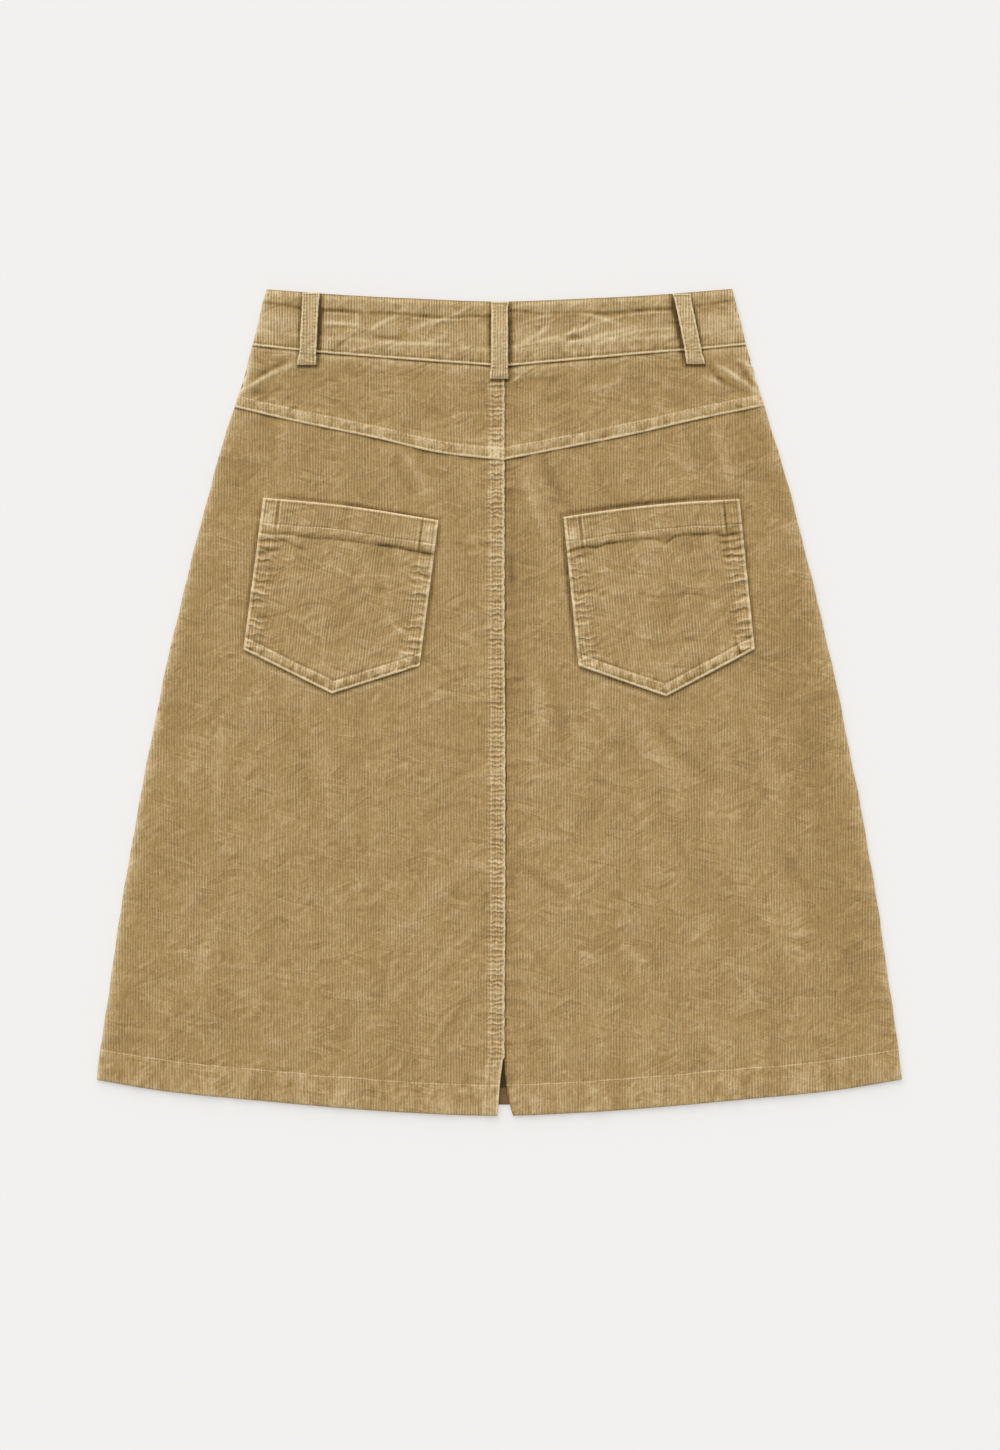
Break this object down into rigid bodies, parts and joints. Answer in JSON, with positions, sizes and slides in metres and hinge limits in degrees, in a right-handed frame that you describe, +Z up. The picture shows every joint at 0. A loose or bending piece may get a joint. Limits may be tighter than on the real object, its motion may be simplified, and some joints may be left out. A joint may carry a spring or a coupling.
{
  "type": "a-line skirt",
  "caption": "Corduroy A-line skirt laid flat with its back up: waistband with belt loops, pointed back yoke, patch pockets, felled centre-back seam and hem vent.",
  "frame": {"origin": "on the surface that the skirt lies on, under the middle of its outline", "axes": "+X across the skirt, to the right of someone who looks at its back; +Y along it, towards the waist; +Z up from the surface"},
  "size_m": [0.612, 0.6286, 0.0084],
  "materials": {
    "corduroy": "washed fine-wale corduroy, soft matt pile",
    "thread": "spun sewing thread, matt",
    "corduroy_worn": "corduroy worn paler where it stands proud, matt"
  },
  "bodies": {
    "root": {"front_panel": "corduroy", "waistband_front": "corduroy", "waistband_back": "corduroy", "back_left": "corduroy", "back_right": "corduroy", "yoke_left": "corduroy", "yoke_right": "corduroy", "pocket_left": "corduroy", "pocket_right": "corduroy", "belt_loop_left": "corduroy_worn", "belt_loop_centre": "corduroy_worn", "belt_loop_right": "corduroy_worn"}
  },
  "joints": []
}
